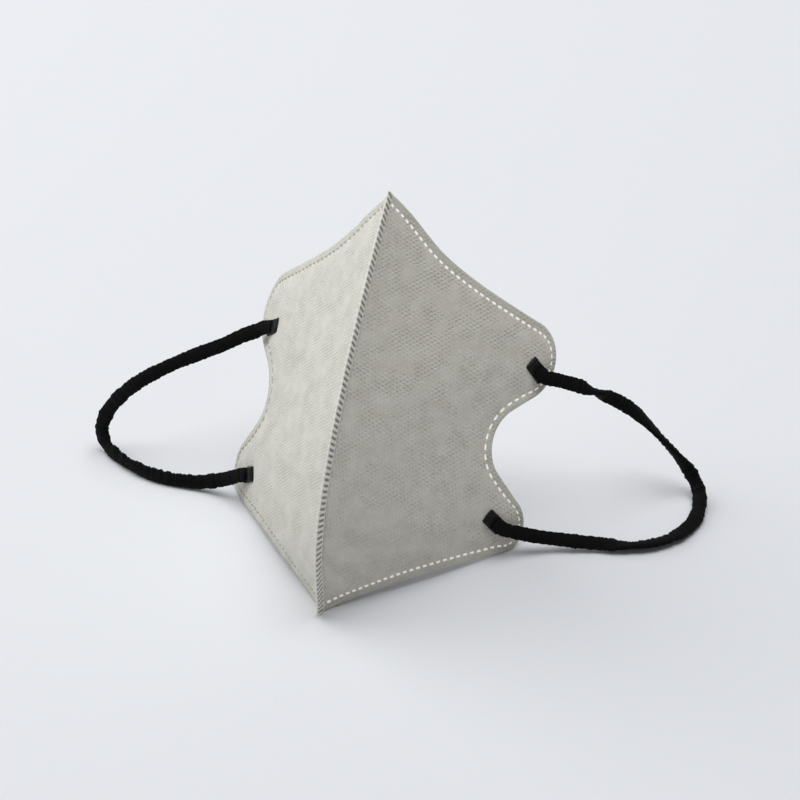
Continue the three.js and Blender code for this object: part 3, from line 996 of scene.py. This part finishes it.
def welded_elastic():
    """The elastic's melted end: the same black yarn fused to a slightly glossy, hatched skin.
    The hatch's raised tops are painted lighter grey, a painted highlight.
    """
    material, shader = finish_of("black_fused_elastic", IOR=1.5, Roughness=0.5, Specular_IOR_Level=0.22)
    place = add(material, "ShaderNodeTexCoord").outputs["Object"]
    grain = add(
        material,
        "ShaderNodeTexNoise",
        {"Vector": place, "Scale": 1600.0, "Detail": 3.0},
    ).outputs["Fac"]
    fused = mix(material, ramp(material, grain, 0.35, 0.7), paint("#060606"), paint("#100F0F"))
    hatch = add(material, "ShaderNodeAttribute", attribute_name="hatch").outputs["Fac"]
    # Painted highlight: the raised tops of the hatch are coloured lighter grey.
    painted_hatch_highlight = ramp(material, hatch, 0.45, 0.8, 0.0, 0.8)
    join(material, shader, "Base Color", mix(material, painted_hatch_highlight, fused, paint("#3E3E3B")))
    relief(material, shader, grain, 0.08)
    return material


def backdrop_paper():
    """Seamless pale paper, matt and very slightly blue."""
    material, shader = finish_of("pale_matt_paper", Roughness=0.9, Specular_IOR_Level=0.2)
    place = add(material, "ShaderNodeTexCoord").outputs["Object"]
    tooth = add(
        material,
        "ShaderNodeTexNoise",
        {"Vector": place, "Scale": 900.0, "Detail": 2.0},
    ).outputs["Fac"]
    join(material, shader, "Base Color", mix(material, tooth, paint("#DCDEE2"), paint("#E0E2E6")))
    return material


# ---- camera, floor and light ---------------------------------------------------------------------

FLOOR_REACH = 9.0
LIGHT_SIZE = 2.2


def facing(place, aim):
    """The matrix of a camera or light that stands at a place and looks at its aim."""
    turn = (Vector(aim) - Vector(place)).to_track_quat("-Z", "Y")
    return Matrix.Translation(place) @ turn.to_matrix().to_4x4()


def camera():
    data = bpy.data.cameras.new("camera")
    data.lens = 223.6
    data.sensor_width = 36
    data.clip_end = 50
    view = bpy.data.objects.new("camera", data)
    view.matrix_world = facing((0.44087, -1.24533, 1.05330), (0.0111, 0.0038, 0.0564))
    bpy.context.scene.collection.objects.link(view)
    bpy.context.scene.camera = view


def soft_light(name, place, size, power, colour):
    data = bpy.data.lights.new(name, "AREA")
    data.shape = "DISK"
    data.size = size
    data.energy = power
    data.color = paint(colour)[:3]
    light = bpy.data.objects.new(name, data)
    light.matrix_world = facing(place, (0, 0, 0))
    bpy.context.scene.collection.objects.link(light)


def studio():
    corners = [(x * FLOOR_REACH, y * FLOOR_REACH, 0) for x, y in ((-1, -1), (1, -1), (1, 1), (-1, 1))]
    mesh = bpy.data.meshes.new("floor")
    mesh.from_pydata(corners, [], [(0, 1, 2, 3)])
    floor = new_object("floor", mesh)
    floor.data.materials.append(backdrop_paper())
    world = bpy.data.worlds.new("studio")
    bpy.context.scene.world = world
    world.use_nodes = True
    sky = world.node_tree.nodes["Background"]
    sky.inputs["Color"].default_value = paint("#F4F4F6")
    sky.inputs["Strength"].default_value = 0.2
    soft_light("window", (-1.75, 0.25, 1.35), LIGHT_SIZE, 30, "#FFFEFC")
    soft_light("ceiling", (0.1, 0.45, 2.6), LIGHT_SIZE, 49, "#FDFEFF")
    bpy.context.scene.view_settings.view_transform = "Standard"


# ---- assembly ------------------------------------------------------------------------------------

camera()

ELASTIC = knitted_elastic()
FUSED = welded_elastic()
OUTER = outer_spunbond()
LAYER_FINISH = {
    "outer_cover": ("outer_spunbond", OUTER),
    "support_layer": ("support_cotton", cotton_web()),
    "filter_layer": ("filter_meltblown", meltblown_web()),
    "inner_lining": ("inner_spunbond", inner_spunbond()),
}


def dressed(piece, material):
    piece.data.materials.append(material)
    return piece


def hang_loops():
    loops = ((1, RIGHT_LOOP_ROUTE, RIGHT_LOOP_TURNS), (-1, LEFT_LOOP_ROUTE, LEFT_LOOP_TURNS))
    for side, route, turns in loops:
        word = side_name(side)
        elastic, centres = ear_loop(f"ear_elastic_{word}", route, turns, side)
        dressed(elastic, ELASTIC)
        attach(elastic, f"{word}_half")
        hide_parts(f"ear_loop_{word}")


def weld_loop_ends():
    for name in PADS:
        word = name.split("_")[1]
        pad = dressed(loop_end(name), FUSED)
        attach(pad, f"{word}_half")
        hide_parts(f"loop_weld_{name}")


def lay_fabric():
    for layer, (_, _, inset) in LAYERS.items():
        rings = FINE_RINGS if layer in ("outer_cover", "inner_lining") else COARSE_RINGS
        cut = cut_mesh(inset, rings)
        slot_name, material = LAYER_FINISH[layer]
        for side in (1, -1):
            word = side_name(side)
            sheet = dressed(fabric_layer(layer, side, cut), material)
            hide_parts(f"{layer}_{word}")
            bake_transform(sheet)


def weld_fin():
    fin = dressed(centre_fin(), welded_nonwoven())
    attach(fin, "seam")
    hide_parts("centre_weld_seam")


hang_loops()
weld_loop_ends()
lay_fabric()
weld_fin()
studio()
